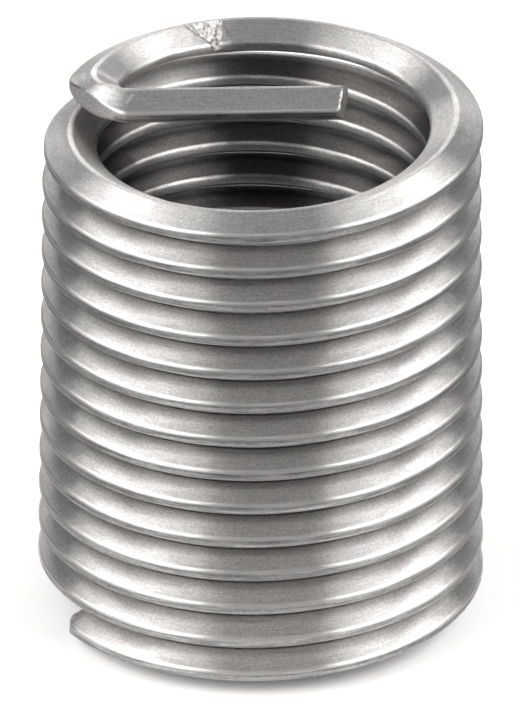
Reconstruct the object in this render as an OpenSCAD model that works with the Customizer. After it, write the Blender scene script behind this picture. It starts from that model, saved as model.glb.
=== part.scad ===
// Wire thread insert for an M12 x 1.5 thread, two diameters long, as it looks before it is fitted.
// One length of hard stainless wire: a close coil of thread-shaped section, one end cut, the other end
// bent in across the bore as the driving tang. A nick in the top turn lets the tang snap off later.
// Millimetres. Z is the coil's axis, z = 0 is the lowest point of the cut end, X runs along the tang.

/* [Wire section] */
// size of the wire across the coil, from the inner thread crest to the outer one
wire_depth = 1.75; // [1.65:0.01:1.9]
// height of the wire along the axis, a little under the pitch so that the turns don't touch
wire_height = 1.20; // [1.1:0.01:1.22]
// width of the narrow flat on both thread crests
crest_width = 0.28; // [0.24:0.01:0.45]
// angle between the two flanks of the thread
thread_angle = 60; // [57:1:64]

/* [Coil] */
// outside diameter over the crests before fitting, half-way up; larger than the tapped hole so that it grips
free_diameter = 14.65; // [14.5:0.05:14.8]
// how much wider the outside diameter is at the cut end than at the bend
coil_flare = 0.42; // [0:0.02:0.5]
// rise of the wire in one turn
free_pitch = 1.24; // [1.23:0.01:1.4]
// turns from the cut end to the start of the bend
coil_turns = 13.86; // [4:0.01:16]
// direction of the cut end, seen from above, counter-clockwise from +X
end_azimuth = 207.5; // [0:0.5:360]

/* [Tang] */
// how far round the top turn draws in before the bend
draw_in_sweep = 106; // [40:1:180]
// how much nearer the axis it ends
draw_in = 0.32; // [0:0.01:0.6]
// radius of the bend on the wire's centre line
bend_radius = 1.4; // [1.1:0.05:2]
// angle that the bend turns through
bend_angle = 108.5; // [90:0.1:115]
// thinning of the stretched outer side of the bend
bend_thinning = 0.28; // [0:0.01:0.35]
// straight length from the bend to the tang's end
tang_length = 6.85; // [5:0.05:7.5]
// slant of the cut across the tang's end
tang_cut_angle = 4; // [0:1:20]

/* [Cut end] */
// length of wire that the end's bevel takes
bevel_length = 0.45; // [0.2:0.05:1]
// how far the bevel brings in the outer crest
bevel_crest = 0.33; // [0:0.01:0.5]
// how far the bevel brings in each ridge
bevel_ridge = 0.18; // [0:0.01:0.3]

/* [Notch] */
// distance of the notch's tip before the bend, in degrees of turn
notch_before_bend = 51; // [30:1:80]
// length of the notch along the wire's ridge
notch_length = 1.15; // [0.6:0.05:1.5]
// how far the notch goes below the flank
notch_depth = 0.32; // [0.1:0.01:0.4]
// share of the notch's length on the tang's side of its tip
notch_lean = 0.62; // [0.3:0.02:0.9]
// how far the tip runs over the edge of the inner crest
notch_overrun = 0.04; // [0:0.01:0.12]

/* [Facets] */
// rings of the wire in one turn
rings_per_turn = 48; // [24:4:60]
// rings in the bend
bend_rings = 14; // [8:1:20]

/* [Hidden] */

half_crest = crest_width / 2;
half_height = wire_height / 2;
half_depth = wire_depth / 2;
flank_slope = tan(thread_angle / 2);
flank_depth = (half_height - half_crest) / flank_slope;
ridge_half_width = half_depth - flank_depth;

wire_radius = free_diameter / 2 - half_depth;
lead_slope = free_pitch / (2 * PI * wire_radius);
coil_sweep = coil_turns * 360;
steady_sweep = coil_sweep - draw_in_sweep;
step = 360 / rings_per_turn;
bevel_sweep = bevel_length / wire_radius * 180 / PI;
start_height = half_height - free_pitch * bevel_sweep / 360;

// place of a ring: [x, y, z, heading, outer crest taken in, ridge taken in]
function place(xy, z, heading, crest_in = 0, ridge_in = 0) = [xy.x, xy.y, z, heading, crest_in, ridge_in];

// the coil, by the angle turned from the cut end
function drawn(turned) = max(0, (turned - steady_sweep) / draw_in_sweep);
function flared(turned) = coil_flare / 2 * (0.5 - turned / coil_sweep);
function coil_radius(turned) = wire_radius + flared(turned) - draw_in * pow(drawn(turned), 2);
function inward_angle(turned) =
    atan(2 * draw_in * drawn(turned) / (draw_in_sweep * PI / 180) / coil_radius(turned));
function coil_xy(turned) =
    coil_radius(turned) * [cos(end_azimuth + turned), sin(end_azimuth + turned)];
function coil_z(turned) = start_height + free_pitch * turned / 360;
function coil_heading(turned) = end_azimuth + turned + 90 + inward_angle(turned);

// the bend, by the share of it that is done; its outer side is thinnest half-way
bend_heading = coil_heading(coil_sweep);
bend_centre = coil_xy(coil_sweep) + bend_radius * [-sin(bend_heading), cos(bend_heading)];
bend_arc = bend_radius * bend_angle * PI / 180;
function thinned(share) = bend_thinning * pow(sin(180 * share), 2);
function bend_place(share) =
    let (heading = bend_heading + bend_angle * share)
    place(
        bend_centre + bend_radius * [sin(heading), -cos(heading)],
        coil_z(coil_sweep) + lead_slope * bend_arc * share,
        heading,
        thinned(share)
    );

// the straight tang, by the distance from the bend
tang_heading = bend_heading + bend_angle;
tang_start = bend_place(1);
function tang_place(along) = place(
    [tang_start.x, tang_start.y] + along * [cos(tang_heading), sin(tang_heading)],
    tang_start.z + lead_slope * along,
    tang_heading
);

rings = [
    place(coil_xy(0), coil_z(0), coil_heading(0), bevel_crest, bevel_ridge),
    for (turned = [bevel_sweep : step : coil_sweep - step / 2])
        place(coil_xy(turned), coil_z(turned), coil_heading(turned)),
    for (k = [0 : bend_rings]) bend_place(k / bend_rings),
    tang_place(tang_length)
];

// corners of the section as [distance out from the centre line, height], the same way round on each ring
function corners(crest_in, ridge_in) =
    let (
        crest = half_depth - crest_in,
        ridge = half_height - ridge_in,
        crest_half = min(half_crest + crest_in * flank_slope, ridge)
    )
    [
        [crest, -crest_half],
        [crest, crest_half],
        [ridge_half_width, ridge],
        [-ridge_half_width, ridge],
        [-half_depth, half_crest],
        [-half_depth, -half_crest],
        [-ridge_half_width, -ridge],
        [ridge_half_width, -ridge]
    ];

// a ring's corners in space; the slant slides the tang's end corners along the wire
function ring_points(r, slant = 0) = [
    for (c = corners(r[4], r[5]))
        [
            r.x + c.x * sin(r[3]) - slant * c.x * cos(r[3]),
            r.y - c.x * cos(r[3]) - slant * c.x * sin(r[3]),
            r.z + c.y
        ]
];

sides = len(corners(0, 0));
last = len(rings) - 1;
wire_points = [
    for (k = [0 : last])
        each ring_points(rings[k], k == last ? tan(tang_cut_angle) : 0)
];
wire_faces = [
    [for (i = [sides - 1 : -1 : 0]) i],
    for (k = [0 : last - 1], i = [0 : sides - 1])
        let (a = k * sides + i, b = k * sides + (i + 1) % sides)
        each [[a, b, a + sides], [b, b + sides, a + sides]],
    [for (i = [0 : sides - 1]) last * sides + i]
];

// a point beside the top turn, by angle before the bend, distance out from the centre line and height
function beside_turn(before, out, up) =
    let (turned = coil_sweep - before, heading = coil_heading(turned), xy = coil_xy(turned))
    [xy.x + out * sin(heading), xy.y - out * cos(heading), coil_z(turned) + up];

// the notch's rim runs along the ridge and comes to a tip on the inner crest; its floor is one point
notch_sweep = notch_length / wire_radius * 180 / PI;
notch_rim = [
    beside_turn(notch_before_bend, -half_depth, half_crest - notch_overrun),
    beside_turn(notch_before_bend - notch_lean * notch_sweep, 0, half_height),
    beside_turn(notch_before_bend + (1 - notch_lean) * notch_sweep, 0, half_height)
];
notch_floor = beside_turn(
    notch_before_bend - 1,
    -half_depth / 2,
    half_crest + half_depth / 2 * flank_slope - notch_depth
);
// the cutter is drawn past the rim, so that it cuts clean through the surface
cutter_reach = 1.5;
cutter_points = [notch_floor, for (p = notch_rim) notch_floor + cutter_reach * (p - notch_floor)];

module wire() {
    polyhedron(points = wire_points, faces = wire_faces, convexity = 20);
}

// three-sided pit that the nicking tool leaves between the ridge and the inner crest
module notch() {
    polyhedron(points = cutter_points, faces = [[0, 2, 1], [0, 3, 2], [0, 1, 3], [1, 2, 3]]);
}

module wire_insert() {
    color("#a9a8a4")
    difference() {
        wire();
        notch();
    }
}

wire_insert();
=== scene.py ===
# %% [markdown]
# # A wire thread insert
# The part is one length of hard stainless wire, rolled to a diamond section, wound into a close coil, and
# bent in at the top to make a driving tang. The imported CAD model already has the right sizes. This lesson
# builds the same wire again, with rounded edges and a real finish, in the same place.

# %% Load the frame
import math

import bmesh
import bpy
import numpy as np
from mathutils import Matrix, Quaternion, Vector, kdtree, noise


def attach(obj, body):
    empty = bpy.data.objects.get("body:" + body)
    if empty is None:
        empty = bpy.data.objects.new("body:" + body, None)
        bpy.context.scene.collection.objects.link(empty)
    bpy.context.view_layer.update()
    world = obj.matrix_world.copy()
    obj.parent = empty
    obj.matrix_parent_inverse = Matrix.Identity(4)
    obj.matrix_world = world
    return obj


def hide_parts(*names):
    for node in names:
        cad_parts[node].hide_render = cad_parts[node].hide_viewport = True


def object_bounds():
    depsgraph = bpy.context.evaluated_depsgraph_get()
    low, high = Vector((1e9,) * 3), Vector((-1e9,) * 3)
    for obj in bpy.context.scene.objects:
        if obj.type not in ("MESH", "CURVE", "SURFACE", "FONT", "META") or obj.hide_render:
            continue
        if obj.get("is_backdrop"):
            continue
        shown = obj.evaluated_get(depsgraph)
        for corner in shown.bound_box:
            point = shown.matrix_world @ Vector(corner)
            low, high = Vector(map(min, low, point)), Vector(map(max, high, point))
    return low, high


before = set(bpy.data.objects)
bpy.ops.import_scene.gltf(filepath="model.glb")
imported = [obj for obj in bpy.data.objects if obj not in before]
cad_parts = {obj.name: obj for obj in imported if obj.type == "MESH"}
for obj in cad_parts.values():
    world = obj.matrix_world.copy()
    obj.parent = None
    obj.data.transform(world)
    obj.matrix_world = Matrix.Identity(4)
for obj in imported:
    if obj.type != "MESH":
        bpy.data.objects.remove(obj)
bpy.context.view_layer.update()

MM = 0.001

# %% [markdown]
# ## Sizes of the section
# On a real insert the wire is as thread-shaped inside as outside: a flat diamond with 60 degrees between the
# flanks, and narrow flats on the two crests and the two ridges. It could be traced from a drawing, but four
# sizes in millimetres give all of it, the same as in the CAD source. The rolls that shape such wire never
# leave a sharp corner, so each corner also gets a radius here.

# %% Sizes of the section
WIRE_DEPTH = 1.75
WIRE_HEIGHT = 1.20
CREST_WIDTH = 0.28
THREAD_ANGLE = 60
CREST_ROUND = 0.18
CREST_ROUND_TOP = 0.135
RIDGE_ROUND = 0.13

HALF_DEPTH = WIRE_DEPTH / 2
HALF_HEIGHT = WIRE_HEIGHT / 2
HALF_CREST = CREST_WIDTH / 2
FLANK_SLOPE = math.tan(math.radians(THREAD_ANGLE / 2))
RIDGE_HALF = HALF_DEPTH - (HALF_HEIGHT - HALF_CREST) / FLANK_SLOPE
print("ridge flat in mm:", round(2 * RIDGE_HALF, 3))

# %% [markdown]
# ## Sizes of the coil and its ends
# A real insert is wound wider than its hole, so that it grips. This one is a little wider at the cut end
# than at the tang, and its top turn draws in before the bend. Lengths are in millimetres, angles in degrees.
# The coil has the sizes of the CAD source. The thinning of the bend, the tang's length and its cut are
# matched a little closer to the real piece here.

# %% Sizes of the coil
FREE_DIAMETER = 14.65
COIL_FLARE = 0.42
FREE_PITCH = 1.24
COIL_TURNS = 13.86
END_AZIMUTH = 207.5
DRAW_IN_SWEEP = 106
DRAW_IN = 0.32

WIRE_RADIUS = FREE_DIAMETER / 2 - HALF_DEPTH
LEAD_SLOPE = FREE_PITCH / (2 * math.pi * WIRE_RADIUS)
COIL_SWEEP = COIL_TURNS * 360
print("wire in the coil, mm:", round(math.radians(COIL_SWEEP) * WIRE_RADIUS, 1))

# %% Sizes of the cut end, the bend and the tang
BEVEL_LENGTH = 0.45
BEVEL_CREST = 0.33
BEVEL_RIDGE = 0.18
BEND_RADIUS = 1.4
BEND_ANGLE = 108.5
BEND_THINNING = 0.36
TANG_LENGTH = 6.88
TANG_CUT_ANGLE = 8.5
CHAMFER = 0.09

BEVEL_SWEEP = math.degrees(BEVEL_LENGTH / WIRE_RADIUS)
START_HEIGHT = HALF_HEIGHT - FREE_PITCH * BEVEL_SWEEP / 360
print("height of the wire's centre at the cut end, mm:", round(START_HEIGHT, 3))

# %% [markdown]
# ## The path of the wire
# A curve object with a bevel profile could draw the wire, but its profile twists where the coil turns into
# the tang. So the path is worked out ring by ring. Each ring knows its place, the way the wire heads there,
# and how much is taken off its crest and its ridge. On a real insert the top turn springs up and aside by
# about a tenth of a millimetre when the tang is bent, and this one does too.

# %% A ring of the coil
SPRUNG_SWEEP = 270
TOP_RISE = 0.11
TANG_RISE = 0.05
SHIFT_BEFORE_BEND = 540
SHIFT_SWEEP = 360
TOP_SHIFT = 0.065


def reached(turned, before_bend, sweep):
    """Share of a stretch of the coil that a ring has behind it, from 0 to 1."""
    return min(1.0, max(0.0, (turned - COIL_SWEEP + before_bend) / sweep))


def coil_ring(turned, crest_in=0.0, ridge_in=0.0, shrink=0.0):
    """The ring at an angle turned from the cut end."""
    drawn = reached(turned, DRAW_IN_SWEEP, DRAW_IN_SWEEP)
    sprung = reached(turned, SPRUNG_SWEEP, SPRUNG_SWEEP)
    flare = COIL_FLARE / 2 * (0.5 - turned / COIL_SWEEP)
    radius = WIRE_RADIUS + flare - DRAW_IN * drawn ** 2
    inward = math.atan(2 * DRAW_IN * drawn / math.radians(DRAW_IN_SWEEP) / radius)
    azimuth = math.radians(END_AZIMUTH + turned)
    rise = TANG_RISE * sprung + TOP_RISE * math.sin(math.pi * sprung) ** 2
    return dict(
        x=radius * math.cos(azimuth) + TOP_SHIFT * reached(turned, SHIFT_BEFORE_BEND, SHIFT_SWEEP),
        y=radius * math.sin(azimuth),
        z=START_HEIGHT + FREE_PITCH * turned / 360 + rise,
        heading=azimuth + math.pi / 2 + inward,
        crest_in=crest_in,
        ridge_in=ridge_in,
        shrink=shrink,
        slant=0.0,
        along=math.radians(turned) * WIRE_RADIUS,
    )


print("radius at both ends of the coil, mm:", [
    round(math.hypot(ring["x"], ring["y"]), 2) for ring in (coil_ring(0), coil_ring(COIL_SWEEP))])

# %% [markdown]
# The cutter that takes the wire off leaves a short bevel with a rounded nose. A bevel modifier would have to
# be told which edges to take, so the nose is five rings close together instead, each shrunk a little less.

# %% Rings of the coil, from the nose on
RINGS_PER_TURN = 90
NOSE = ((0.0, 0.22), (0.03, 0.11), (0.09, 0.03), (0.18, 0.0), (0.32, 0.0))

rings = []
for from_end, shrink in NOSE:
    left = 1 - from_end / BEVEL_LENGTH
    turned = BEVEL_SWEEP * from_end / BEVEL_LENGTH
    rings.append(coil_ring(turned, BEVEL_CREST * left, BEVEL_RIDGE * left, shrink))
step = 360 / RINGS_PER_TURN
rings += [coil_ring(turned) for turned in np.arange(BEVEL_SWEEP, COIL_SWEEP - step / 2, step)]
print("rings in the coil:", len(rings))

# %% [markdown]
# The tang is bent in over a pin. The outer side of a bend is stretched, so the wire is thinner there. The
# rings of the bend stand on a circle round the pin, and those of the tang on a straight line that goes on
# from it, because both then keep the slope of the coil.

# %% Rings of the bend
BEND_RINGS = 36
bend_start = coil_ring(COIL_SWEEP)
bend_turn = math.radians(BEND_ANGLE)
pin_x = bend_start["x"] - BEND_RADIUS * math.sin(bend_start["heading"])
pin_y = bend_start["y"] + BEND_RADIUS * math.cos(bend_start["heading"])


def bend_ring(share):
    """The ring at a share of the bend, from 0 to 1."""
    heading = bend_start["heading"] + bend_turn * share
    run = BEND_RADIUS * bend_turn * share
    return dict(
        bend_start,
        x=pin_x + BEND_RADIUS * math.sin(heading),
        y=pin_y - BEND_RADIUS * math.cos(heading),
        z=bend_start["z"] + LEAD_SLOPE * run,
        heading=heading,
        crest_in=BEND_THINNING * math.sin(math.pi * share) ** 2,
        along=bend_start["along"] + run,
    )


rings += [bend_ring(k / BEND_RINGS) for k in range(BEND_RINGS + 1)]
print("pin of the bend, mm:", round(pin_x, 2), round(pin_y, 2))

# %% Rings of the tang
TANG_RINGS = 16
CHAMFER_SHRINK = (0.02, 0.07)
tang_start = bend_ring(1)
cut_slant = math.tan(math.radians(TANG_CUT_ANGLE))


def tang_ring(run, shrink=0.0, slant=0.0):
    """The ring at a distance from the bend; a slant leans it, as at the cut."""
    return dict(
        tang_start,
        x=tang_start["x"] + run * math.cos(tang_start["heading"]),
        y=tang_start["y"] + run * math.sin(tang_start["heading"]),
        z=tang_start["z"] + LEAD_SLOPE * run,
        shrink=shrink,
        slant=slant,
        along=tang_start["along"] + run,
    )


unchamfered = TANG_LENGTH - CHAMFER
rings += [tang_ring(unchamfered * k / TANG_RINGS) for k in range(1, TANG_RINGS)]
rings += [
    tang_ring(unchamfered, 0.0, cut_slant),
    tang_ring(TANG_LENGTH - CHAMFER / 3, CHAMFER_SHRINK[0], cut_slant),
    tang_ring(TANG_LENGTH, CHAMFER_SHRINK[1], cut_slant),
]
print("rings in all:", len(rings), "wire length in mm:", round(rings[-1]["along"], 1))

# %% [markdown]
# ## The section, with its roundings
# A bevel modifier would round every edge of the mesh, also the joints between rings. It is simpler to round
# the eight corners of the flat section before it is swept. Each corner becomes a short arc, and a point just
# beyond each end of the arc keeps the flank flat under smooth shading.

# %% Corners of the section
LEAST_FLANK = 0.01


def section_corners(crest_in, ridge_in):
    """Corners as (out, up) from the wire's centre line, from the lower corner of the outer crest."""
    crest = HALF_DEPTH - crest_in
    ridge = HALF_HEIGHT - ridge_in
    half = min(HALF_CREST + crest_in * FLANK_SLOPE, ridge - LEAST_FLANK)
    return [
        Vector((crest, -half)),
        Vector((crest, half)),
        Vector((RIDGE_HALF, ridge)),
        Vector((-RIDGE_HALF, ridge)),
        Vector((-HALF_DEPTH, HALF_CREST)),
        Vector((-HALF_DEPTH, -HALF_CREST)),
        Vector((-RIDGE_HALF, -ridge)),
        Vector((RIDGE_HALF, -ridge)),
    ]


print("corners of the section, mm:", [tuple(round(v, 2) for v in c) for c in section_corners(0, 0)])

# %% Rounded section
ROUNDS = (
    CREST_ROUND, CREST_ROUND_TOP, RIDGE_ROUND, RIDGE_ROUND, CREST_ROUND, CREST_ROUND, RIDGE_ROUND, RIDGE_ROUND)
ARC_STEPS = (4, 4, 3, 3, 4, 4, 3, 3)
KEEP_FLAT = 0.03
FLAT_ROOM = 1.1 * KEEP_FLAT


def section(crest_in, ridge_in):
    """Points of the rounded section, as (out, up)."""
    corners = section_corners(crest_in, ridge_in)
    points = []
    for k, corner in enumerate(corners):
        before = corners[k - 1] - corner
        after = corners[(k + 1) % len(corners)] - corner
        room = min(before.length, after.length) / 2 - FLAT_ROOM
        before.normalize()
        after.normalize()
        turn = math.pi - before.angle(after)
        reach = min(ROUNDS[k] * math.tan(turn / 2), room)
        radius = reach / math.tan(turn / 2)
        centre = corner + (before + after).normalized() * (radius / math.cos(turn / 2))
        first = corner + before * reach - centre
        final = corner + after * reach - centre
        points.append(corner + before * (reach + KEEP_FLAT))
        for arc_step in range(ARC_STEPS[k] + 1):
            share = arc_step / ARC_STEPS[k]
            from_first = math.sin((1 - share) * turn) / math.sin(turn)
            from_final = math.sin(share * turn) / math.sin(turn)
            points.append(centre + first * from_first + final * from_final)
        points.append(corner + after * (reach + KEEP_FLAT))
    return points


sides = len(section(0, 0))
print("points in the section:", sides)

# %% [markdown]
# ## The sweep
# A factory draws the section through rolls and then winds it. Here each ring places the section on its own
# spot of the path. Two more values are kept for each point, because the finish needs them later: where it
# is on the wire (along, out, up), and which way the wire heads there.

# %% Points of the wire
places, marks, headings = [], [], []
for ring in rings:
    out = Vector((math.sin(ring["heading"]), -math.cos(ring["heading"])))
    ahead = Vector((math.cos(ring["heading"]), math.sin(ring["heading"])))
    middle = Vector((-ring["crest_in"] / 2, 0))
    for corner in section(ring["crest_in"], ring["ridge_in"]):
        point = middle + (corner - middle) * (1 - ring["shrink"])
        flat = Vector((ring["x"], ring["y"])) + out * point.x - ahead * ring["slant"] * point.x
        places.append((flat.x * MM, flat.y * MM, (ring["z"] + point.y) * MM))
        marks.append((ring["along"] - ring["slant"] * point.x, point.x, point.y))
        headings.append((ahead.x, ahead.y, LEAD_SLOPE))
print("points of the wire:", len(places))

# %% Mesh of the wire
def into_scene(name, data):
    """An object for a mesh, a lamp or a camera, linked into the scene."""
    placed = bpy.data.objects.new(name, data)
    bpy.context.scene.collection.objects.link(placed)
    return placed


faces = [tuple(reversed(range(sides)))]
for k in range(len(rings) - 1):
    for i in range(sides):
        a = k * sides + i
        b = k * sides + (i + 1) % sides
        faces.append((a, b, b + sides, a + sides))
faces.append(tuple((len(rings) - 1) * sides + i for i in range(sides)))

mesh = bpy.data.meshes.new("wire")
mesh.from_pydata(places, [], faces)
mesh.shade_smooth()
for face in mesh.polygons:
    face.use_smooth = len(face.vertices) == 4
mesh.update()
wire = into_scene("wire_insert_fine", mesh)
print("faces:", len(mesh.polygons))

# %% [markdown]
# ## Nodes and colours
# A material can be put together by hand in the shader editor. In a script, one function that adds a node
# with its settings and links does the same work. Colours are written as sRGB hex, the way a colour picker
# shows them, and one function turns them into the linear values that Blender's sockets take.

# %% Colour and node helpers
def hex_colour(text):
    """sRGB hex to linear RGBA."""
    values = [int(text[k:k + 2], 16) / 255 for k in (1, 3, 5)]
    return (*[v / 12.92 if v <= 0.04045 else ((v + 0.055) / 1.055) ** 2.4 for v in values], 1.0)


def add(tree, kind, inputs=None, stops=(), **settings):
    """One node: its settings, the stops of its colour ramp, and each input, set or linked."""
    node = tree.nodes.new(kind)
    for name, value in settings.items():
        setattr(node, name, value)
    for k, (position, colour) in enumerate(stops):
        node.color_ramp.elements[k].position = position
        node.color_ramp.elements[k].color = hex_colour(colour)
    for name, value in (inputs or {}).items():
        if isinstance(value, bpy.types.NodeSocket):
            tree.links.new(value, node.inputs[name])
        else:
            node.inputs[name].default_value = value
    return node


def empty_material(name):
    """A material whose node tree is still empty."""
    material = bpy.data.materials.new(name)
    material.use_nodes = True
    material.node_tree.nodes.clear()
    return material


print("mid grey #808080 in linear light:", round(hex_colour("#808080")[0], 3))

# %% [markdown]
# ## Drawn stainless steel
# The wire is austenitic stainless steel, drawn through a die and then rolled. Drawing leaves fine lines
# along the wire, rolling a satin grain and broad, very shallow waves. The eye sees a soft grey metal whose
# highlights stretch across the wire and break up a little at their edges. A photographed texture couldn't
# follow the coil, so noise in the wire's own coordinates draws all of it. Real die lines and grains are
# a hundredth of a millimetre or two wide, too fine to show, so they are drawn several times coarser.

# %% Patterns along the wire
DIE_LINE = 0.06
LONG_LINE = 0.11
GRAIN = 0.07
WAVE = 1.1
PATTERNS = {
    # pattern: (length along the wire and width across it in mm, detail, roughness)
    "die lines": (0.9, DIE_LINE, 2.0, 0.6),
    "long lines": (7.0, LONG_LINE, 2.0, 0.5),
    "grain": (GRAIN / 0.85, GRAIN, 3.0, 0.6),
    "waves": (2 * WAVE, WAVE, 3.0, 0.5),
}

steel = empty_material("drawn_stainless_steel")
tree = steel.node_tree
place = add(tree, "ShaderNodeAttribute", attribute_name="wire_place").outputs["Vector"]
patterns = {}
for name, (length, width, detail, roughness) in PATTERNS.items():
    scaled = add(tree, "ShaderNodeMapping", {
        "Vector": place, "Scale": (1 / length, 1 / width, 1 / width)}).outputs["Vector"]
    patterns[name] = add(tree, "ShaderNodeTexNoise", {
        "Vector": scaled, "Scale": 1.0, "Detail": detail, "Roughness": roughness}).outputs["Fac"]
print("patterns:", list(patterns))

# %% [markdown]
# The flanks inside the bore are darker. This is painted shade: a darker colour on the inner flanks of the
# lower turns, while the crests and the top turn keep the plain colour. Painted masks would need a UV map. A
# mask here is a product of soft steps in the wire's own coordinates: X along it, Y out, Z up, in mm.

# %% Masks on the wire
# Painted shade: the inner flanks are darker up to this far before the bend
BORE_SHADE_TURN = 400
BORE_SHADE_FADE = 6
bore_shade_end = tang_start["along"] - math.radians(BORE_SHADE_TURN) * WIRE_RADIUS
MASKS = {
    # mask: (axis, where it is 0, where it is 1) for each of its steps
    # painted shade on the inner flanks of the lower turns
    "painted bore shade": (("Y", -0.10, -0.30), ("Y", -0.86, -0.78), ("X", bore_shade_end, bore_shade_end - BORE_SHADE_FADE)),
    # crest face: real die lines and streaks, plus painted shade over the whole face
    "crest face": (("Y", 0.76, 0.80), ("Z", 0.10, 0.05), ("Z", -0.24, -0.14)),
    # painted highlight on the upper edge of the outer crest
    "painted crest highlight": (("Y", 0.76, 0.80), ("Z", 0.05, 0.09), ("Z", 0.21, 0.17)),
}

axes = add(tree, "ShaderNodeSeparateXYZ", {"Vector": place}).outputs
masks = {"all over": 1.0}
for name, steps in MASKS.items():
    mask = 1.0
    for axis, low, high in steps:
        share = add(tree, "ShaderNodeMapRange", {
            "Value": axes[axis], "From Min": low, "From Max": high}, interpolation_type="SMOOTHSTEP")
        mask = add(tree, "ShaderNodeMath", {
            0: mask, 1: share.outputs["Result"]}, operation="MULTIPLY").outputs["Value"]
    masks[name] = mask
# painted shade: where the bore's darker colour ends
print("the film ends", BORE_SHADE_TURN, "degrees before the bend, at mm of wire:", round(bore_shade_end, 1))

# %% [markdown]
# A real insert picks up small marks when it is handled in bulk: here a short bright scratch by the bend and
# two specks on the outer crests. They could be cut into the mesh, but they are far too shallow for that. So
# they are spots of bare metal round points in the object's coordinates, and the scratch is a row of spots.

# %% Scratch and specks
SCRATCH = (Vector((-4.45, 0.00, 18.26)), Vector((-4.27, 0.25, 18.41)))
SCRATCH_SPOTS = 6
SPECKS = (Vector((2.97, -5.86, 12.61)), Vector((6.66, -2.36, 10.01)))
SPOT_OUTER, SPOT_INNER = 0.06, 0.035

spots = [SCRATCH[0].lerp(SCRATCH[1], k / (SCRATCH_SPOTS - 1)) for k in range(SCRATCH_SPOTS)]
here = add(tree, "ShaderNodeTexCoord").outputs["Object"]
marked = 0.0
for centre in (*spots, *SPECKS):
    away = add(tree, "ShaderNodeVectorMath", {0: here, 1: centre * MM}, operation="DISTANCE")
    near = add(tree, "ShaderNodeMapRange", {
        "Value": away.outputs["Value"], "From Min": SPOT_OUTER * MM, "From Max": SPOT_INNER * MM},
        interpolation_type="SMOOTHSTEP")
    marked = add(tree, "ShaderNodeMath", {
        0: marked, 1: near.outputs["Result"]}, operation="MAXIMUM").outputs["Value"]
masks["marks"] = marked
print("bright spots:", len(spots) + len(SPECKS))

# %% [markdown]
# A painted highlight brightens the upper edge of the outer crest. The crest's face keeps the deepest die lines
# and long streaks, and painted shade also darkens the whole face. All of it could go into one long chain of
# nodes. A table of ramps and a table of mixes are easier to read: each row of the second lays one colour over
# another where a mask is 1, or multiplies the two.

# %% Colours of the steel
RAMPS = {
    # colour: (pattern that drives it, its two stops)
    # the steel's own grain colour, outside the painted shade
    "clean": ("grain", (0.35, "#c2c0be"), (0.65, "#e1dedc")),
    # painted shade colour for the inner flanks
    "bore shade grain": ("grain", (0.35, "#625f5d"), (0.65, "#7a7775")),
    "flank lines": ("die lines", (0.32, "#efefef"), (0.6, "#ffffff")),
    # darker die lines on the crest; the low stops also paint shade over the face
    "crest lines and shade": ("die lines", (0.36, "#b4b4b4"), (0.64, "#efefef")),
    # long streaks on the crest, also part of its painted shade
    "long crest lines and shade": ("long lines", (0.36, "#d6d6d6"), (0.6, "#ffffff")),
}
MIXES = (
    # colour, blend, mask, first colour, second colour
    # lays the painted bore shade over the grain
    ("grain with bore shade", "MIX", "painted bore shade", "clean", "bore shade grain"),
    # lays the painted crest highlight over the colour
    ("with crest highlight", "MIX", "painted crest highlight", "grain with bore shade", "crest highlight colour"),
    ("all crest lines and shade", "MULTIPLY", "all over", "crest lines and shade", "long crest lines and shade"),
    # lays the crest's lines and painted shade over the flank lines
    ("lines", "MIX", "crest face", "flank lines", "all crest lines and shade"),
    # carries the painted shade and the painted highlight as well as the lines
    ("lined with painted light", "MULTIPLY", "all over", "with crest highlight", "lines"),
    ("final colour", "MIX", "marks", "lined with painted light", "bare"),
)

# colour of the painted crest highlight, and bare metal for the marks
colours = {"crest highlight colour": hex_colour("#e8e5e2"), "bare": hex_colour("#f6f4f2")}
for name, (pattern, *stops) in RAMPS.items():
    colours[name] = add(tree, "ShaderNodeValToRGB", {"Fac": patterns[pattern]}, stops).outputs["Color"]
for name, blend, mask, first, second in MIXES:
    colours[name] = add(tree, "ShaderNodeMixRGB", {
        "Fac": masks[mask], "Color1": colours[first], "Color2": colours[second]},
        blend_type=blend).outputs["Color"]
print("colours:", list(colours))

# %% [markdown]
# The metal keeps the default IOR. A rolled surface scatters more than a polished one, so its roughness is
# about a third, and it changes softly over the waves. Drawing makes it anisotropic: the lines run along the
# wire, so light spreads across it. The tangent comes from the wire's own heading, because the shader's
# default one would turn round the Z axis also on the straight tang.

# %% Surface of the steel
BUMPS = {"die lines": 0.7e-6, "grain": 1.5e-6, "waves": 4.5e-5}
ROUGH_LOW, ROUGH_HIGH = 0.31, 0.38
STRETCH = 0.95
QUARTER_TURN = 0.25

normal = {}
for pattern, height in BUMPS.items():
    bump = add(tree, "ShaderNodeBump", {
        "Height": patterns[pattern], "Distance": height, "Strength": 1.0, **normal})
    normal = {"Normal": bump.outputs["Normal"]}
rough = add(tree, "ShaderNodeMapRange", {
    "Value": patterns["waves"], "From Min": 0.3, "From Max": 0.7, "To Min": ROUGH_LOW, "To Max": ROUGH_HIGH})
heading = add(tree, "ShaderNodeAttribute", attribute_name="wire_heading").outputs["Vector"]
shader = add(tree, "ShaderNodeBsdfPrincipled", {
    "Base Color": colours["final colour"], "Metallic": 1.0, "Roughness": rough.outputs["Result"], **normal,
    "Anisotropic": STRETCH, "Anisotropic Rotation": QUARTER_TURN, "Tangent": heading})
add(tree, "ShaderNodeOutputMaterial", {"Surface": shader.outputs["BSDF"]})
mesh.materials.append(steel)
print("nodes in the steel:", len(tree.nodes))

# %% [markdown]
# ## Sheared stainless steel
# Where the wire was sheared off, and where the nick was struck, the same steel is torn. The eye sees no
# lines along the wire there, but a rougher face with small bright and dull patches. One more mask could do
# it in the same material, but the cutter of the nick hands its own material to the faces that it cuts.

# %% Torn faces
TEAR = 0.10
TEAR_STRETCH = 0.3
TEAR_HEIGHT = 6.0e-6
across = 1 / (TEAR * MM)

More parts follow.
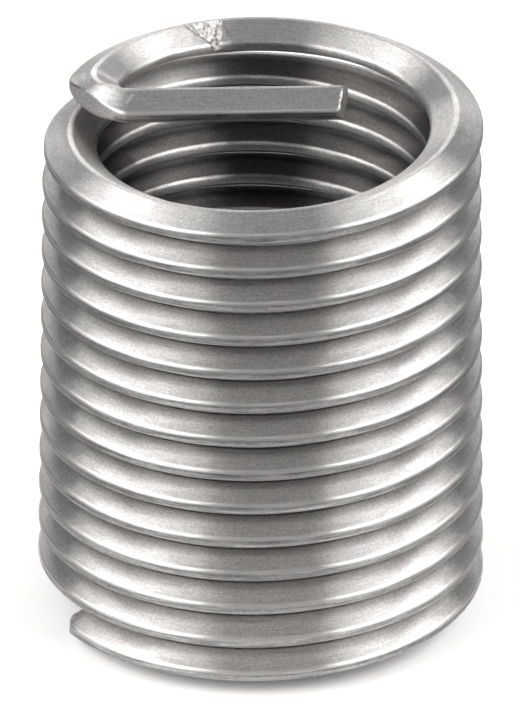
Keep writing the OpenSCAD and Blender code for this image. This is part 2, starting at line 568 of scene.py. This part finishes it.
sheared = empty_material("sheared_stainless_steel")
tree = sheared.node_tree
spot = add(tree, "ShaderNodeNewGeometry").outputs["Position"]
scaled = add(tree, "ShaderNodeMapping", {
    "Vector": spot, "Scale": (across, across, TEAR_STRETCH * across)}).outputs["Vector"]
tear = add(tree, "ShaderNodeTexNoise", {
    "Vector": scaled, "Scale": 1.0, "Detail": 3.0, "Roughness": 0.65}).outputs["Fac"]
patchy = add(tree, "ShaderNodeValToRGB", {"Fac": tear}, ((0.38, "#7c7a78"), (0.62, "#d4d2d0")))
torn = add(tree, "ShaderNodeBump", {"Height": tear, "Distance": TEAR_HEIGHT, "Strength": 1.0})
shader = add(tree, "ShaderNodeBsdfPrincipled", {
    "Base Color": patchy.outputs["Color"], "Metallic": 1.0, "Roughness": 0.5,
    "Normal": torn.outputs["Normal"]})
add(tree, "ShaderNodeOutputMaterial", {"Surface": shader.outputs["BSDF"]})
mesh.materials.append(sheared)

drawn_from = 1 + (len(NOSE) - 1) * sides
drawn_to = 1 + (len(rings) - 3) * sides
for face in mesh.polygons:
    face.material_index = 0 if drawn_from <= face.index < drawn_to else 1
print("sheared faces at the two ends:", sum(face.material_index for face in mesh.polygons))

# %% [markdown]
# ## The nick
# The tang is snapped off once the insert sits in its hole, and a three-sided nick struck into the top turn
# decides where it breaks. It could be modelled into the rings, but they would have to be far closer there.
# So a cutter is taken away with a Boolean. The striking tool leaves torn facets, so the cutter's faces are
# divided and pushed about by a few hundredths of a millimetre of noise before they cut.

# %% Rim and floor of the nick
NICK_BEFORE_BEND = 49.5
NICK_LENGTH = 1.28
NICK_DEPTH = 0.33
NICK_LEAN = 0.66
NICK_OVERRUN = 0.25
NICK_SWEEP = math.degrees(NICK_LENGTH / WIRE_RADIUS)
FLOOR_ASIDE = 1


def beside_turn(before, out, up):
    """A point by the angle before the bend, the distance out from the wire's centre line and the height."""
    ring = coil_ring(COIL_SWEEP - before)
    aside_x = out * math.sin(ring["heading"])
    aside_y = -out * math.cos(ring["heading"])
    return Vector((ring["x"] + aside_x, ring["y"] + aside_y, ring["z"] + up))


nick_rim = [
    beside_turn(NICK_BEFORE_BEND, -HALF_DEPTH, HALF_CREST - NICK_OVERRUN),
    beside_turn(NICK_BEFORE_BEND - NICK_LEAN * NICK_SWEEP, 0, HALF_HEIGHT),
    beside_turn(NICK_BEFORE_BEND + (1 - NICK_LEAN) * NICK_SWEEP, 0, HALF_HEIGHT),
]
mid_flank = HALF_CREST + HALF_DEPTH / 2 * FLANK_SLOPE
nick_floor = beside_turn(NICK_BEFORE_BEND - FLOOR_ASIDE, -HALF_DEPTH / 2, mid_flank - NICK_DEPTH)
print("nick's floor, mm:", [round(v, 2) for v in nick_floor])

# %% Cutter of the nick
CUTTER_REACH = 1.5
CUTTER_RISE = 1
CUTTER_CUTS = 14
TEAR_DEPTH = 0.025
TEAR_WIDTH = 0.16

shape = bmesh.new()
deep = shape.verts.new(nick_floor)
low = [shape.verts.new(nick_floor + CUTTER_REACH * (p - nick_floor)) for p in nick_rim]
high = [shape.verts.new(v.co + Vector((0, 0, CUTTER_RISE))) for v in low]
for k in range(3):
    n = (k + 1) % 3
    shape.faces.new((deep, low[n], low[k]))
    shape.faces.new((low[k], low[n], high[n]))
    shape.faces.new((low[k], high[n], high[k]))
shape.faces.new(high)
bmesh.ops.subdivide_edges(shape, edges=shape.edges, cuts=CUTTER_CUTS, use_grid_fill=True)
for vert in shape.verts:
    vert.co = (vert.co + TEAR_DEPTH * noise.noise_vector(vert.co / TEAR_WIDTH)) * MM
bmesh.ops.recalc_face_normals(shape, faces=shape.faces)
cutter_mesh = bpy.data.meshes.new("nick_cutter")
shape.to_mesh(cutter_mesh)
shape.free()
cutter_mesh.materials.append(sheared)
cutter = into_scene("nick_cutter", cutter_mesh)
print("faces of the cutter:", len(cutter_mesh.polygons))

# %% Cut the nick
SHARP_FROM = 32
nick = wire.modifiers.new("nick", "BOOLEAN")
nick.operation = "DIFFERENCE"
nick.solver = "EXACT"
nick.material_mode = "TRANSFER"
nick.object = cutter
bpy.context.view_layer.update()
mesh = bpy.data.meshes.new_from_object(wire.evaluated_get(bpy.context.evaluated_depsgraph_get()))
wire.modifiers.clear()
wire.data = mesh
bpy.data.objects.remove(cutter)
mesh.set_sharp_from_angle(angle=math.radians(SHARP_FROM))
print("faces after the nick:", len(mesh.polygons), "materials:", [m.name for m in mesh.materials])

# %% [markdown]
# The finish needs to know where on the wire each point is, and which way the wire heads there. The Boolean
# drops such values and makes new points, so each point takes both from the nearest point of the sweep.

# %% Place and heading on the wire
finder = kdtree.KDTree(len(places))
for k, point in enumerate(places):
    finder.insert(point, k)
finder.balance()
nearest = [finder.find(vert.co)[1] for vert in mesh.vertices]
for name, values in (("wire_place", marks), ("wire_heading", headings)):
    layer = mesh.attributes.new(name, "FLOAT_VECTOR", "POINT")
    layer.data.foreach_set("vector", np.array(values, np.float32)[nearest].ravel())
print("marked points:", len(nearest))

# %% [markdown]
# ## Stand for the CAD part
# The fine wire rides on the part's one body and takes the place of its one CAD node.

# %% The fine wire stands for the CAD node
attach(wire, "root")
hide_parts("wire_insert")
print("stands for the CAD node:", wire.name)

# %% [markdown]
# ## White card under the part
# A small part is photographed on matt white card, which gives the eye a plain ground and a soft shadow. The
# lower flanks of the coil mirror that card, so painted shade makes the card greyer beside and before the part,
# outside the picture, standing in for the shade of dark flags round it. A brighter lamp would whiten the card
# but burn out the steel. A faint glow, seen by the camera and in reflections only, lifts the card and keeps
# its shadow.

# %% Card
CARD_SIDE = (10, 18)
CARD_FRONT = (-11.5, -20)
CARD_GLOW = 0.13

card = empty_material("white_card")
tree = card.node_tree
spot = add(tree, "ShaderNodeNewGeometry").outputs["Position"]
axes = add(tree, "ShaderNodeSeparateXYZ", {"Vector": spot}).outputs
sideways = add(tree, "ShaderNodeMath", {0: axes["X"]}, operation="ABSOLUTE").outputs["Value"]
outer = 0.0
for distance, (near, far) in ((sideways, CARD_SIDE), (axes["Y"], CARD_FRONT)):
    fade = add(tree, "ShaderNodeMapRange", {
        "Value": distance, "From Min": near * MM, "From Max": far * MM}, interpolation_type="SMOOTHSTEP")
    outer = add(tree, "ShaderNodeMath", {
        0: outer, 1: fade.outputs["Result"]}, operation="MAXIMUM").outputs["Value"]
rays = add(tree, "ShaderNodeLightPath").outputs
seen = 0.0
for ray in ("Is Camera Ray", "Is Glossy Ray", "Is Transmission Ray"):
    seen = add(tree, "ShaderNodeMath", {0: seen, 1: rays[ray]}, operation="MAXIMUM").outputs["Value"]
glow = add(tree, "ShaderNodeMath", {0: seen, 1: CARD_GLOW}, operation="MULTIPLY").outputs["Value"]
# painted shade: the card turns grey outside the picture, beside and before the part
paper = add(tree, "ShaderNodeValToRGB", {"Fac": outer}, ((0.0, "#fcfcfc"), (1.0, "#8e8e8e")))
shader = add(tree, "ShaderNodeBsdfPrincipled", {
    "Base Color": paper.outputs["Color"], "Roughness": 0.9, "Specular IOR Level": 0.1,
    "Emission Strength": glow})
add(tree, "ShaderNodeOutputMaterial", {"Surface": shader.outputs["BSDF"]})
print("nodes in the card:", len(tree.nodes))

# %% Floor
FLOOR = 0.6
floor_mesh = bpy.data.meshes.new("floor")
floor_mesh.from_pydata(
    [(-FLOOR, -FLOOR, 0), (FLOOR, -FLOOR, 0), (FLOOR, FLOOR, 0), (-FLOOR, FLOOR, 0)], [], [(0, 1, 2, 3)])
floor_mesh.materials.append(card)
floor = into_scene("floor", floor_mesh)
floor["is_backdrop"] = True
print("floor in metres:", 2 * FLOOR, "square")

# %% [markdown]
# ## Soft boxes
# Shiny steel shows its lamps, so it is lit with large soft boxes. One big lamp would leave the flanks dull.
# Three boxes on each side make the broad bright bands on the flanks, a low one behind lights the back, and
# a narrow one in front keeps the middle from going dark. Azimuth is measured from straight behind the part
# towards its right, in degrees, and the radiance is that of the box's face.

# %% Lamps
LOOK_AT = Vector((-0.043, 0, 8.702)) * MM
BOX_DISTANCE = 0.25
BOXES = {
    # name: (azimuth, elevation, width in m, height in m, radiance)
    "box_right": (91, 40, 0.15, 0.14, 2.7),
    "box_right_near": (123, 40, 0.13, 0.14, 4.3),
    "box_right_far": (68, 40, 0.10, 0.14, 2.3),
    "box_left": (-96, 40, 0.13, 0.14, 2.4),
    "box_left_near": (-126, 40, 0.15, 0.14, 4.1),
    "box_left_far": (-72, 40, 0.12, 0.14, 2.6),
    "box_back": (0, 26, 0.20, 0.08, 1.7),
    "box_front": (180, 48, 0.16, 0.04, 2.5),
}


def stand_back(placed, distance, back, turn):
    """Stand a lamp or the camera back from the middle of the part, and turn it."""
    placed.location = LOOK_AT + back * distance
    placed.rotation_mode = "QUATERNION"
    placed.rotation_quaternion = turn


for name, (azimuth, elevation, width, height, radiance) in BOXES.items():
    round_part = math.radians(azimuth)
    above = math.radians(elevation)
    back = Vector((
        math.sin(round_part) * math.cos(above), math.cos(round_part) * math.cos(above), math.sin(above)))
    lamp = bpy.data.lights.new(name, "AREA")
    lamp.shape = "RECTANGLE"
    lamp.size = width
    lamp.size_y = height
    lamp.energy = radiance * math.pi * width * height
    stand_back(into_scene(name, lamp), BOX_DISTANCE, back, back.to_track_quat("Z", "Y"))
print("soft boxes:", len(BOXES))

# %% [markdown]
# A studio room is bright above and behind the part and dark on the camera's side. An even grey world would
# flatten the steel, so the world's grey follows how far a direction turns towards the bright side.

# %% World
BRIGHT_ELEVATION = math.radians(60)
BRIGHT_SIDE = (0, math.cos(BRIGHT_ELEVATION), math.sin(BRIGHT_ELEVATION))

world = bpy.data.worlds.new("studio")
bpy.context.scene.world = world
world.use_nodes = True
tree = world.node_tree
tree.nodes.clear()
direction = add(tree, "ShaderNodeTexCoord").outputs["Generated"]
facing = add(tree, "ShaderNodeVectorMath", {0: direction, 1: BRIGHT_SIDE}, operation="DOT_PRODUCT")
sky = add(tree, "ShaderNodeValToRGB", {
    "Fac": facing.outputs["Value"]}, ((0.45, "#2e2e2e"), (0.87, "#b1b1b1")))
room = add(tree, "ShaderNodeBackground", {"Color": sky.outputs["Color"]})
add(tree, "ShaderNodeOutputWorld", {"Surface": room.outputs["Background"]})
print("bright side of the room:", [round(v, 2) for v in BRIGHT_SIDE])

# %% [markdown]
# ## Camera
# The camera stands at the photograph's viewing angle: its height, distance and slight roll were fitted to
# the outline and the crests of the coil. Its lens could be guessed by eye, but it is worked out from how
# large a millimetre at the part has to be in the picture.

# %% Camera
CAMERA_UP = math.radians(27.75)
CAMERA_ROLL = math.radians(0.196)
CAMERA_FAR = 0.5952
PIXELS_PER_MM = 30.16
PICTURE_HEIGHT = 720
SENSOR = 36

camera_data = bpy.data.cameras.new("camera")
camera_data.sensor_width = SENSOR
camera_data.lens = PIXELS_PER_MM / MM * CAMERA_FAR * SENSOR / PICTURE_HEIGHT
camera_data.clip_start = 0.01
camera_data.clip_end = 10
camera = into_scene("camera", camera_data)
back = Vector((0, -math.cos(CAMERA_UP), math.sin(CAMERA_UP)))
level = (-back).to_track_quat("-Z", "Y")
stand_back(camera, CAMERA_FAR, back, level @ Quaternion((0, 0, 1), CAMERA_ROLL))
bpy.context.scene.camera = camera
bpy.context.scene.view_settings.view_transform = "Standard"
print("lens in mm:", round(camera_data.lens, 1))

# %% [markdown]
# ## Last look at the size
# The dressed part has to fill the same box as the CAD model, so its box is printed.

# %% Box of the dressed part
low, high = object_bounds()
print("dressed box in mm:", [round(v / MM, 2) for v in (*low, *high)])
